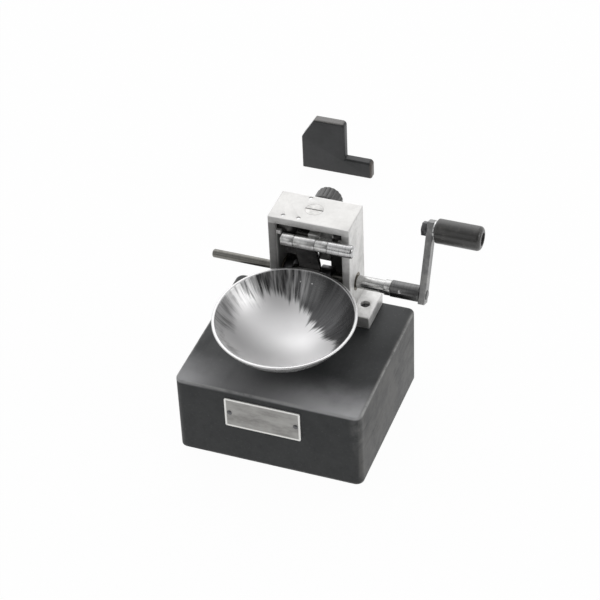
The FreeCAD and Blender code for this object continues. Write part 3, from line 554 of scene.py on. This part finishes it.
def bowlFinish():
    # read in the bowl's own leaned frame, whose origin is the middle of its sphere
    # clean and bright in the middle, with a painted dark reflection that runs in from the rim at the rear
    # in radial streaks, strongest at the right rear, and in patches at the left
    skin = finish("polishedBowl", (0.9, 0.9, 0.9), metallic=0.6, roughness=0.2)
    place = skin.place(bowl["centre"], (-bowl["lean"], 0.0, 0.0))
    x, y, z = skin.split(place)
    radius = (x * x + y * y) ** 0.5
    around = skin.join(x / (radius + 0.0005), y / (radius + 0.0005), radius * 3.0)
    rays = skin.noise(around, 6.0, 3.0, 0.6)
    fineRays = skin.noise(around, 20.0, 3.0, 0.6)
    rings = skin.noise(skin.join(radius * 60.0, 0.0, 0.0), 22.0, 3.0, 0.6)
    clouds = skin.noise(place, 42.0, 4.0, 0.6)
    reach = radius + (rays - 0.5) * bowl["streakLength"]
    reach = reach + (fineRays - 0.5) * bowl["streakLength"] * 0.35
    lipStart = bowl["rimRadius"] - bowl["lipWidth"]
    inner = 1.0 - radius.ramp(lipStart, lipStart + bowl["lipBlend"])
    fromCentre = (radius * radius + z * z) ** 0.5
    inner = inner * (1.0 - fromCentre.ramp(bowl["insideRadius"] + 0.0005, bowl["outerRadius"] - 0.0005))
    lobe = ((x * 0.8 + y * 0.6) / (radius + 0.0005)).most(0.0) ** 2.0
    behind = (y / (radius + 0.0005)).most(0.0)
    rear = (reach - bowl["streakStart"] + behind * 0.009 + lobe * 0.019).ramp(0.0, bowl["streakEdge"])
    rear = rear * (y + x * 0.5).ramp(-0.02, 0.004)
    left = reach.ramp(0.033, 0.042) * (0.0 - x).ramp(0.012, 0.03) * clouds.ramp(0.38, 0.6)
    soft = 0.35 + lobe.ramp(0.1, 0.5) * 0.6
    paintedReflection = rear.most(left * 0.6) * (soft + fineRays.ramp(0.35, 0.65) * (1.0 - soft)) * inner
    lip = (1.0 - inner) * z.ramp(-bowl["rimDrop"] - 0.0005, -bowl["rimDrop"] - 0.0002)
    shade = skin.blend(clouds.ramp(0.45, 0.75) * 0.3, (0.98, 0.975, 0.975), (0.86, 0.85, 0.85))
    # painted dark reflection
    shade = skin.blend(paintedReflection * 0.95, shade, (0.055, 0.056, 0.058))
    # painted shade: the outside and the lip are toned darker than the inner face
    shade = skin.blend(1.0 - inner, shade, (0.74, 0.735, 0.73))
    shade = skin.blend(lip * 0.6, shade, (0.55, 0.55, 0.55))
    clean = inner * (1.0 - paintedReflection)
    skin.set({"Base Color": shade, "Metallic": 0.88,
              "Roughness": 0.22 + rings * 0.05 + clean * 0.14 + clouds * 0.06})
    skin.bump(rings * 0.3 + fineRays * 0.5 * inner, 0.08, 0.00003)
    return skin


def plateFinish(low, high):
    skin = finish("plateMetal", (0.6, 0.59, 0.56), metallic=0.7, roughness=0.42)
    centre = [(a + b) / 2 for a, b in zip(low, high)]
    x, y, z = skin.split(skin.place(centre))
    halfWidth = (high[0] - low[0]) / 2
    halfHeight = (high[2] - low[2]) / 2
    inset = (halfWidth - abs(x)).least(halfHeight - abs(z))
    field = inset.ramp(0.0011, 0.0016)
    brushed = skin.noise(skin.place(stretch=(0.03, 1, 1)), 1400.0, 3.0, 0.6)
    tarnish = skin.noise(skin.place(stretch=(0.5, 1, 1)), 95.0, 5.0, 0.65)
    shade = skin.blend(tarnish.ramp(0.35, 0.7), (0.4, 0.395, 0.38), (0.25, 0.245, 0.235))
    shade = skin.blend(brushed.ramp(0.5, 0.8) * 0.35, shade, (0.5, 0.49, 0.47))
    shade = skin.blend(field, (0.86, 0.855, 0.83), shade)
    skin.set({"Base Color": shade, "Roughness": 0.36 + tarnish * 0.2})
    skin.bump(brushed * 0.4 - field * 0.8, 0.5, 0.00012)
    return skin


def plasticFinish(name, centre, axis):
    skin = finish(name, (0.03, 0.03, 0.03), roughness=0.34, specular=0.6, coat=0.15)
    place = skin.place()
    rub = skin.noise(place, 210.0, 5.0, 0.6)
    drawn = [1.0 if part else 0.05 for part in axis]
    lines = skin.noise(skin.place(centre, stretch=drawn), 1500.0, 2.0, 0.5)
    dust = skin.noise(place, 1700.0, 2.0, 0.6)
    shade = skin.blend(rub.ramp(0.45, 0.75), (0.04, 0.039, 0.037), (0.08, 0.077, 0.073))
    shade = skin.blend(dust.ramp(0.64, 0.76) * 0.35, shade, (0.12, 0.12, 0.12))
    skin.set({"Base Color": shade, "Roughness": 0.3 + rub.ramp(0.4, 0.8) * 0.2})
    skin.bump(lines * 0.5 + dust * 0.2, 0.12, 0.00004)
    return skin


def enamelFinish(low, high):
    skin = finish("toolEnamel", (0.015, 0.015, 0.016), roughness=0.36, specular=0.45)
    place = skin.place()
    cloudy = skin.noise(place, 60.0, 5.0, 0.6)
    rubAndSheen = skin.noise(skin.place(turn=(0, 0.6, 0), stretch=(1, 1, 0.2)), 180.0, 4.0, 0.6)
    grain = skin.noise(place, 1300.0, 3.0, 0.6)
    wear = skin.edges(low, high, 0.0012) * rubAndSheen.ramp(0.36, 0.6)
    shade = skin.blend(cloudy.ramp(0.35, 0.7), (0.018, 0.019, 0.02), (0.036, 0.037, 0.039))
    shade = skin.blend(rubAndSheen.ramp(0.58, 0.8) * 0.35, shade, (0.06, 0.058, 0.058))
    x, y, z = skin.split(place)
    top = z.ramp(high[2] - 0.0009, high[2] - 0.0003)
    warmHighlight = x.ramp(high[0] - 0.0022, high[0] - 0.0006)
    # painted highlight along the top, and a brownish painted highlight on the right edge
    shade = skin.blend(top * 0.6, shade, (0.3, 0.29, 0.28))
    shade = skin.blend(warmHighlight * 0.6, shade, (0.11, 0.085, 0.065))
    # edges lightened as worn edges and as a painted highlight line
    shade = skin.blend(wear * 0.6, shade, (0.34, 0.31, 0.28))
    skin.set({"Base Color": shade, "Roughness": 0.28 + cloudy * 0.18})
    skin.bump(grain, 0.2, 0.00005)
    return skin


alongX, alongY, alongZ = (1, 0, 0), (0, 1, 0), (0, 0, 1)
shaft = {"endRadius": 0.003, "endLength": 0.046, "radius": 0.0035, "chamfer": 0.0008,
         "reliefRadius": 0.0026, "reliefWidth": 0.001, "sleeveRadius": 0.0046, "ringRadius": 0.0054,
         "collarRadius": 0.007, "boreGap": 0.00001}
pin = {"radius": 0.0024, "tip": 0.0007, "headRadius": 0.0046, "headLength": 0.018, "crown": 0.0018}
grip = {"radius": 0.0085, "curve": 0.003, "boreRadius": 0.00255, "recessRadius": 0.0045,
        "recessDepth": 0.004}
hub = {"radius": 0.0058, "boreDepth": 0.015, "spigot": 0.0032, "length": 0.0202}
washer = {"radius": 0.0066, "bore": 0.00203}
post = {"width": 0.058, "wall": 0.0053, "topWall": 0.005, "foot": 0.0088}
lockHeadRadius = 0.0064
# patches of painted highlight on the carriage and the hanger, each as (low x, low z), (high x, high z)
# from the pin
carriageHighlight = ((-0.0078, 0.0), (0.0078, 0.0048))
hangerHighlight = ((0.0, -0.0125), (0.0068, -0.0055))
rubber = rubberFinish(lowest["base_block"], highest["base_block"])
castAlloy = castFinish(lowest["support_block"], highest["support_block"])
# the shaft's colour is kept dark as painted shade, standing in for the arch's shade and the dark
# reflections along the shaft
shaftSteel = turnedFinish("groundShaft", middleOf("drive_shaft"), alongX, (0.2, 0.195, 0.18),
                          (0.07, 0.067, 0.06))
pinSteel = turnedFinish("groundPin", middleOf("hinge_pin"), alongX, (0.58, 0.58, 0.58),
                        (0.1, 0.1, 0.1), roughness=0.17)
sleeveSteel = turnedFinish("groundSleeve", middleOf("drive_shaft"), alongX, (0.56, 0.56, 0.55),
                           (0.16, 0.16, 0.16), roughness=0.16)
carriageSteel = hingeFinish("carriageSteel", [carriageHighlight])
hangerSteel = hingeFinish("hangerSteel", [hangerHighlight])
lockHead = middleOf("carriage_lock_screw")[:2] + [highest["carriage_lock_screw"][2]]
lockSteel = screwFinish("lockScrewSteel", lockHead, lockHeadRadius)
plainSteel = turnedFinish("plainSteel", (0, 0, 0), alongZ, (0.66, 0.66, 0.66), (0.34, 0.34, 0.34),
                          roughness=0.3)
# darkSteel is blackened steel; on the cam and the collar deep in the arch and on the support block screws
# it also stands as painted shade
darkSteel = turnedFinish("darkSteel", middleOf("crank_hub"), alongX, (0.15, 0.15, 0.155),
                         (0.06, 0.06, 0.06), metallic=0.9, roughness=0.32)
hubSteel = turnedFinish("hubSteel", middleOf("crank_hub"), alongX, (0.16, 0.16, 0.16),
                        (0.05, 0.05, 0.05), roughness=0.22)
armSteel = forgedFinish("armSteel", (0.26, 0.26, 0.26), (0.42, 0.42, 0.41), lowest["crank_arm"],
                        highest["crank_arm"])
bronze = turnedFinish("bushBronze", middleOf("drive_shaft"), alongX, (0.24, 0.22, 0.18),
                      (0.09, 0.08, 0.065), roughness=0.36)
plateMetal = plateFinish(lowest["nameplate"], highest["nameplate"])
gripPlastic = plasticFinish("gripPlastic", middleOf("handle_grip"), alongX)
knobPlastic = plasticFinish("knobPlastic", middleOf("adjusting_knob"), alongY)
toolEnamel = enamelFinish(lowest["grooving_tool"], highest["grooving_tool"])
bowlMetal = bowlFinish()
print("finishes made")


def bowlRecipe():
    # a sheet of points is laid over the outer sphere, across the lip and back down the inner sphere
    tree = recipe("bowlRecipe")
    outerRadius = tree.input("Outer radius")
    innerRadius = tree.input("Inner radius")
    outerAngle = tree.input("Outer angle")
    innerAngle = tree.input("Inner angle")
    lip = tree.input("Lip share")
    centre = tree.input("Centre", "NodeSocketVector")
    lean = tree.input("Lean")
    sides = tree.input("Sides", "NodeSocketInt", 128)
    rows = tree.input("Rows", "NodeSocketInt", 64)
    metal = tree.input("Metal", "NodeSocketMaterial")
    sheet = tree.node("GeometryNodeMeshGrid", None, {0: 1.0, 1: 1.0, 2: sides, 3: rows})
    column, row, _ = tree.split(tree.node("GeometryNodeInputPosition"))
    turn = (column + 0.5) * (2 * math.pi)
    share = row + 0.5
    half = 0.5 - lip / 2
    across = tree.node("ShaderNodeClamp", None, {0: (share - 0.5) / lip + 0.5})
    outerPart = tree.node("ShaderNodeClamp", None, {0: (half - share) / half})
    innerPart = tree.node("ShaderNodeClamp", None, {0: (share - 0.5 - lip / 2) / half})
    radius = outerRadius + (innerRadius - outerRadius) * across
    rimAngle = outerAngle + (innerAngle - outerAngle) * across
    angle = rimAngle * (1.0 - outerPart - innerPart)
    reach = radius * angle.sum("SINE", angle)
    point = tree.join(reach * turn.sum("COSINE", turn), reach * turn.sum("SINE", turn),
                      0.0 - radius * angle.sum("COSINE", angle))
    leaned = tree.node("ShaderNodeVectorRotate", {"rotation_type": "X_AXIS"},
                       {"Vector": point, "Angle": lean})
    placed = tree.node("ShaderNodeVectorMath", {"operation": "ADD"}, {0: leaned, 1: centre})
    shaped = tree.node("GeometryNodeSetPosition", None, {"Geometry": sheet, "Position": placed})
    closed = tree.node("GeometryNodeMergeByDistance", None, {"Geometry": shaped, "Distance": 1e-6})
    real = tree.node("GeometryNodeRealizeInstances", None, {"Geometry": closed})
    tree.finish(tree.node("GeometryNodeSetMaterial", None, {"Geometry": real, "Material": metal}))
    return tree


def makeBowl():
    drop, outer, inner = bowl["rimDrop"], bowl["outerRadius"], bowl["insideRadius"]
    mesh = bowlRecipe().mesh({
        "Outer radius": outer, "Inner radius": inner, "Outer angle": math.acos(drop / outer),
        "Inner angle": math.acos(drop / inner), "Lip share": bowl["lipShare"],
        "Centre": bowl["centre"], "Lean": bowl["lean"], "Sides": bowl["sides"], "Rows": bowl["rows"],
        "Metal": bowlMetal.material})
    mesh = finished(outward(mesh), [bevelled(bowl["rimBevel"], 3, 40.0)])
    return newPiece("bowl", mesh, "cup", bowlMetal, sharp=50.0)


makeBowl()
print("bowl made")

base = {"cornerRadius": 0.0055, "cornerSteps": 10, "topRadius": 0.0013, "bottomRadius": 0.0006,
        "edgeSteps": 5}


def makeBase():
    low, high = lowest["base_block"], highest["base_block"]
    form = bmesh.new()
    bmesh.ops.create_cube(form, size=1.0)
    size = [b - a for a, b in zip(low, high)]
    middle = [(a + b) / 2 for a, b in zip(low, high)]
    stretch = Matrix.Translation(middle) @ Matrix.Diagonal((*size, 1.0))
    bmesh.ops.transform(form, matrix=stretch, verts=form.verts)
    upright = [edge for edge in form.edges if abs(edge.verts[0].co.z - edge.verts[1].co.z) > 0.01]
    bmesh.ops.bevel(form, geom=upright, offset=base["cornerRadius"], segments=base["cornerSteps"],
                    profile=0.5, affect="EDGES")
    for height, radius in ((high[2], base["topRadius"]), (low[2], base["bottomRadius"])):
        rim = [edge for edge in form.edges if all(abs(v.co.z - height) < 1e-6 for v in edge.verts)
               and len({round(face.normal.z, 3) for face in edge.link_faces}) > 1]
        bmesh.ops.bevel(form, geom=rim, offset=radius, segments=base["edgeSteps"], profile=0.5,
                        affect="EDGES")
    mesh = bpy.data.meshes.new("base")
    form.to_mesh(mesh)
    form.free()
    return newPiece("baseBlock", mesh, "base_block", rubber, sharp=50.0)


makeBase()

dressed("support_block", castAlloy, 0.0003)
dressed("nameplate", plateMetal, 0.0002)
# painted shade: these screws are coloured dark where they sit in their holes
dressed("support_block_screws", darkSteel, 0.0002)
dressed("carriage_lock_screw", lockSteel, 0.0003)
dressed("top_grub_screws", plainSteel, 0.0001)
dressed("shaft_bush_left", bronze, 0.0002)
dressed("shaft_bush_right", bronze, 0.0002)
dressed("hinge_carriage", carriageSteel, 0.0003)
dressed("cup_hanger", hangerSteel, 0.00025)
# painted shade: the cam is coloured dark where it sits in the arch
dressed("drop_cam", darkSteel, 0.0003)
dressed("crank_arm", armSteel, 0.0004)
dressed("spindle_nut", darkSteel, 0.0003)
dressed("grooving_tool", toolEnamel, 0.0004)
print("post and castings made")


def arc(along, radius, curve, steps=8):  # the quarter round at the end of a turned profile
    turns = [math.pi / 2 * step / steps for step in range(steps + 1)]
    return [(along - curve + curve * math.sin(t), radius - curve + curve * math.cos(t)) for t in turns]


def makeShaft():
    end = lengthOf("drive_shaft")
    shoulder = shaft["endLength"]
    relief = shoulder + shaft["reliefWidth"]
    turned("drive_shaft", "driveShaft", [
        (0, 0), (0, shaft["endRadius"] - shaft["chamfer"]), (shaft["chamfer"], shaft["endRadius"]),
        (shoulder, shaft["endRadius"]), (shoulder, shaft["reliefRadius"]),
        (relief, shaft["reliefRadius"]), (relief, shaft["radius"]), (end, shaft["radius"]),
        (end, 0)], shaftSteel, rounding=0.0002)
    bore = shaft["radius"] + shaft["boreGap"]
    for node, name, radius, steel in (
            ("shaft_sleeve", "shaftSleeve", shaft["sleeveRadius"], sleeveSteel),
            ("sleeve_ring", "sleeveRing", shaft["ringRadius"], sleeveSteel),
            ("shaft_collar", "shaftCollar", shaft["collarRadius"], darkSteel)):
        length = lengthOf(node)
        tube = [(0, bore), (0, radius), (length, radius), (length, bore)]
        turned(node, name, tube, steel, closed=True)


def makePin():
    end = lengthOf("hinge_pin")
    start = end - pin["headLength"]
    turned("hinge_pin", "hingePin", [
        (0, 0), (0, pin["radius"] - pin["tip"]), (pin["tip"], pin["radius"]), (start, pin["radius"]),
        (start, pin["headRadius"])] + arc(end, pin["headRadius"], pin["crown"]) + [(end, 0)], pinSteel,
        rounding=0.00025)


def makeCrankPieces():
    end = lengthOf("crank_hub")
    turned("crank_hub", "crankHub", [
        (hub["boreDepth"], 0), (hub["boreDepth"], shaft["radius"]), (0, shaft["radius"]),
        (0, hub["radius"]), (hub["length"], hub["radius"]), (hub["length"], hub["spigot"]),
        (end, hub["spigot"]), (end, 0)], hubSteel, rounding=0.0005)
    end = lengthOf("handle_grip")
    recess = end - grip["recessDepth"]
    innerCurve = grip["curve"] / 2
    outline = [(0, grip["boreRadius"])]
    for along, radius in reversed(arc(innerCurve, grip["radius"], innerCurve)):
        outline.append((innerCurve - along, radius))
    outline += arc(end, grip["radius"], grip["curve"])
    outline += [(end, grip["recessRadius"]), (recess, grip["recessRadius"]), (recess, grip["boreRadius"])]
    turned("handle_grip", "handleGrip", outline, gripPlastic, rounding=0.0002, closed=True)
    length = lengthOf("handle_washer")
    turned("handle_washer", "handleWasher", [
        (0, washer["bore"]), (0, washer["radius"]), (length, washer["radius"]),
        (length, washer["bore"])], pinSteel, rounding=0.00025, closed=True)


makeShaft()
makePin()
makeCrankPieces()
dressed("handle_spindle", pinSteel, 0.00015)
dressed("adjusting_screw", pinSteel, 0.0002)
dressed("adjusting_screw_ring", darkSteel, 0.0002)
dressed("cam_grub_screw", darkSteel, 0.0)
dressed("collar_grub_screw", darkSteel, 0.0)
dressed("knob_grub_screw", darkSteel, 0.0)
dressed("crank_hub_pin", pinSteel, 0.0001)
print("shaft and crank made")

rivets = {"plateRadius": 0.0011, "plateHead": 0.0019, "plateCrown": 0.0008, "plateDepth": 0.006,
          "plateInset": 0.0034, "hangerRadius": 0.0015, "hangerHead": 0.0026, "hangerCrown": 0.0011,
          "hangerDrop": 0.0085, "hangerSpacing": 0.009, "hangerThickness": 0.0028, "innerCrown": 0.0002,
          "domeSteps": 6, "sides": 48, "rounding": 0.00004}


def dome(along, radius, height, direction=1):  # a crown's points, from its rim to its pole
    sphere = (radius * radius + height * height) / (2 * height)
    widest = math.asin(radius / sphere)
    turns = [widest * (1 - step / rivets["domeSteps"]) for step in range(rivets["domeSteps"] + 1)]
    rises = [sphere * math.cos(turn) - sphere + height for turn in turns]
    return [(along + direction * rise, max(sphere * math.sin(turn), 0.0))
            for rise, turn in zip(rises, turns)]


def makeRivets():
    front, rear = lowest["nameplate"][1], lowest["base_block"][1]
    shank = rear + rivets["plateDepth"] - front
    plate = (0.0, -1.0, 0.0)
    left = lowest["nameplate"][0] + rivets["plateInset"]
    right = highest["nameplate"][0] - rivets["plateInset"]
    height = middleOf("nameplate")[2]
    turned("nameplate_rivets", "plateRivets", [(-shank, 0), (-shank, rivets["plateRadius"]),
           (0, rivets["plateRadius"])] + dome(0, rivets["plateHead"], rivets["plateCrown"]),
           darkSteel, plate, [(x, front, height) for x in (left, right)],
           rounding=rivets["rounding"], sides=rivets["sides"])
    lean = bowl["lean"]
    rearRim = bowl["rimRadius"] * math.sin(lean) - bowl["rimDrop"] * math.cos(lean)
    drop = rivets["hangerDrop"] - rearRim
    back = math.sqrt(bowl["outerRadius"] ** 2 - drop ** 2)
    outwards = Vector((0.0, back, -drop)) / bowl["outerRadius"]
    seat = bowl["outerRadius"] + rivets["hangerThickness"]
    inner = dome(bowl["insideRadius"], rivets["hangerRadius"], rivets["innerCrown"], -1)
    turned("hanger_rivets", "hangerRivets", inner[::-1] + [(seat, rivets["hangerRadius"])]
           + dome(seat, rivets["hangerHead"], rivets["hangerCrown"]), pinSteel, outwards,
           [Vector(bowl["centre"]) + Vector((x * rivets["hangerSpacing"] / 2, 0, 0)) for x in (-1, 1)],
           rounding=rivets["rounding"], sides=rivets["sides"])


makeRivets()
print("rivets made")

knob = {"radius": 0.0096, "flutes": 18, "fluteDepth": 0.0005, "bore": 0.00302, "curve": 0.0016,
        "neck": 0.0078, "neckRise": 0.001, "fluteStart": 0.0025, "dishRadius": 0.0062,
        "dishDepth": 0.0007, "sidesPerFlute": 14, "drumSteps": 6}


def makeKnob():
    # a moulded knob: a fluted drum with a dished rear face
    length = lengthOf("adjusting_knob", 1)
    start = knob["fluteStart"]
    end = length - knob["curve"]
    dish = length - knob["dishDepth"]
    steps = knob["drumSteps"]
    drum = [(start + (end - start) * step / steps, knob["radius"]) for step in range(steps + 1)]
    turned("adjusting_knob", "adjustingKnob", [
        (end, 0), (end, knob["bore"]), (0, knob["bore"]), (0, knob["neck"]),
        (start * 0.5, knob["neck"] + knob["neckRise"])]
        + drum + arc(length, knob["radius"], knob["curve"])[1:] + [
            (length, knob["dishRadius"]), (dish, knob["dishRadius"] - knob["dishDepth"]),
            (dish, 0)], knobPlastic, alongY, rounding=0.0002,
        sides=knob["flutes"] * knob["sidesPerFlute"],
        flutes=(knob["flutes"], knob["fluteDepth"], knob["neck"], knob["radius"]))


makeKnob()
print("knob made")

studio = {"floorSize": 6.0, "floorColour": (0.9, 0.9, 0.9), "whiteShare": 0.97,
          "brightSide": (-0.34, 0.87, 0.35), "darkLight": 0.15, "brightLight": 1.0,
          "darkEnd": -0.35, "brightEnd": 0.75, "skyColour": (0.99, 0.99, 1.0, 1.0),
          "aim": (0.0, 0.0, 0.08)}
# each lamp's place, size and power
lamps = {"rearLamp": ((-0.6, 1.2, 1.2), 1.5, 6.0), "rightLamp": ((1.35, -0.05, 0.75), 0.8, 4.5),
         "frontLamp": ((-0.7, -1.3, 1.0), 1.1, 2.6)}


def makeFloor():
    form = bmesh.new()
    bmesh.ops.create_grid(form, x_segments=1, y_segments=1, size=studio["floorSize"] / 2)
    mesh = bpy.data.meshes.new("floor")
    form.to_mesh(mesh)
    form.free()
    floor = bpy.data.objects.new("floor", mesh)
    scene.collection.objects.link(floor)
    skin = finish("paleFloor", studio["floorColour"], roughness=0.85, specular=0.2)
    rays = skin.node("ShaderNodeLightPath", outlet="Is Camera Ray")
    glossy = wire(skin, rays.socket.node.outputs["Is Glossy Ray"])
    through = wire(skin, rays.socket.node.outputs["Is Transmission Ray"])
    glow = skin.node("ShaderNodeEmission", None, {0: (1, 1, 1, 1), 1: 1.0})
    seen = rays.most(glossy).most(through) * studio["whiteShare"]
    surface = wire(skin, skin.shader.outputs[0])
    mixed = skin.node("ShaderNodeMixShader", None, {0: seen, 1: surface, 2: glow})
    skin.tree.links.new(mixed.socket, skin.tree.nodes["Material Output"].inputs[0])
    mesh.materials.append(skin.material)


def makeWorld():
    # a plain room, lighter at the rear than behind the camera, so that metal shows light and dark;
    # the camera itself sees it as white
    world = bpy.data.worlds.new("paleRoom")
    scene.world = world
    world.use_nodes = True
    tree = world.node_tree
    sky = tree.nodes["Background"]
    direction = tree.nodes.new("ShaderNodeTexCoord")
    towards = tree.nodes.new("ShaderNodeVectorMath")
    towards.operation = "DOT_PRODUCT"
    towards.inputs[1].default_value = Vector(studio["brightSide"]).normalized()
    level = tree.nodes.new("ShaderNodeMapRange")
    level.interpolation_type = "SMOOTHSTEP"
    level.inputs[1].default_value = studio["darkEnd"]
    level.inputs[2].default_value = studio["brightEnd"]
    level.inputs[3].default_value = studio["darkLight"]
    level.inputs[4].default_value = studio["brightLight"]
    tree.links.new(direction.outputs["Generated"], towards.inputs[0])
    tree.links.new(towards.outputs["Value"], level.inputs[0])
    rays = tree.nodes.new("ShaderNodeLightPath")
    seen = tree.nodes.new("ShaderNodeMath")
    seen.operation = "MAXIMUM"
    tree.links.new(level.outputs[0], seen.inputs[0])
    tree.links.new(rays.outputs["Is Camera Ray"], seen.inputs[1])
    tree.links.new(seen.outputs[0], sky.inputs[1])
    sky.inputs[0].default_value = studio["skyColour"]


def makeLamp(name, place, size, power):
    lamp = bpy.data.lights.new(name, "AREA")
    lamp.shape = "SQUARE"
    lamp.size = size
    lamp.energy = power
    holder = bpy.data.objects.new(name, lamp)
    holder.location = place
    holder.rotation_euler = (Vector(place) - Vector(studio["aim"])).to_track_quat("Z", "Y").to_euler()
    scene.collection.objects.link(holder)


makeFloor()
makeWorld()
for lampName, (lampPlace, lampSize, lampPower) in lamps.items():
    makeLamp(lampName, lampPlace, lampSize, lampPower)

# the photograph's view: a camera on a sphere round the target, leaning a little to one side
view = {"azimuth": 21.772, "elevation": 38.98, "lean": -2.655, "distance": 1.5,
        "target": (-0.014069, 0.044704, 0.06), "lensPixels": 2147.75, "imagePixels": 600.0,
        "sensorWidth": 36.0, "nearest": 0.05, "farthest": 20.0}


def makeCamera():
    turn, rise, lean = [math.radians(view[key]) for key in ("azimuth", "elevation", "lean")]
    back = Vector((math.sin(turn) * math.cos(rise), -math.cos(turn) * math.cos(rise), math.sin(rise)))
    right = Vector((math.cos(turn), math.sin(turn), 0.0))
    up = back.cross(right)
    leanRight = right * math.cos(lean) + up * math.sin(lean)
    leanUp = up * math.cos(lean) - right * math.sin(lean)
    lens = bpy.data.cameras.new("camera")
    lens.sensor_width = view["sensorWidth"]
    lens.lens = lens.sensor_width * view["lensPixels"] / view["imagePixels"]
    lens.clip_start = view["nearest"]
    lens.clip_end = view["farthest"]
    camera = bpy.data.objects.new("camera", lens)
    scene.collection.objects.link(camera)
    place = Matrix((leanRight, leanUp, back)).transposed().to_4x4()
    place.translation = Vector(view["target"]) + back * view["distance"]
    camera.matrix_world = place
    scene.camera = camera


makeCamera()
scene.view_settings.view_transform = "Standard"
print("camera and studio made")
